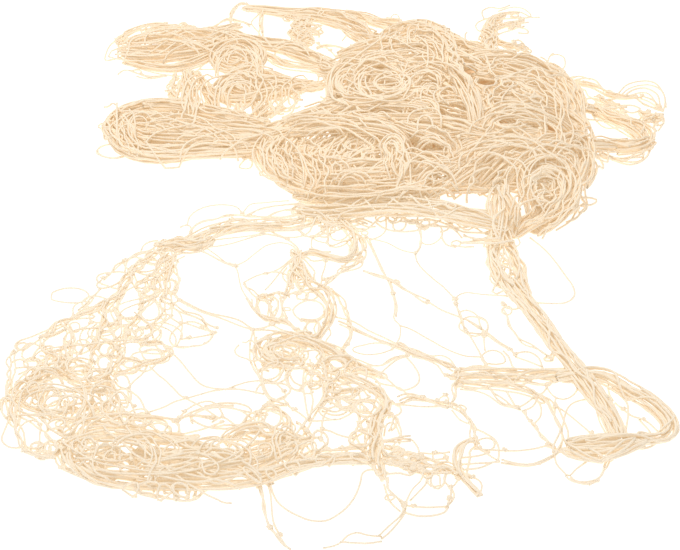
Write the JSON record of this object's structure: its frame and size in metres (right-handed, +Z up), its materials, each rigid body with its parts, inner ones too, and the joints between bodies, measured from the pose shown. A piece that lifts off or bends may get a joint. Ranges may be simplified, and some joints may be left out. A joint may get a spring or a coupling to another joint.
{
  "type": "gill net",
  "caption": "Cotton gill net gathered into hanks and let down in a loose heap, with open meshes spread in front of it.",
  "frame": {"origin": "middle of the heap's footprint box, on the floor it lies on", "axes": "+X to the right, +Y to the back where the dense heap lies, +Z up"},
  "size_m": [0.646, 1.0768, 0.0768],
  "materials": {
    "cotton_twine": "matte"
  },
  "bodies": {
    "root": {"netting": "cotton_twine"}
  },
  "joints": []
}
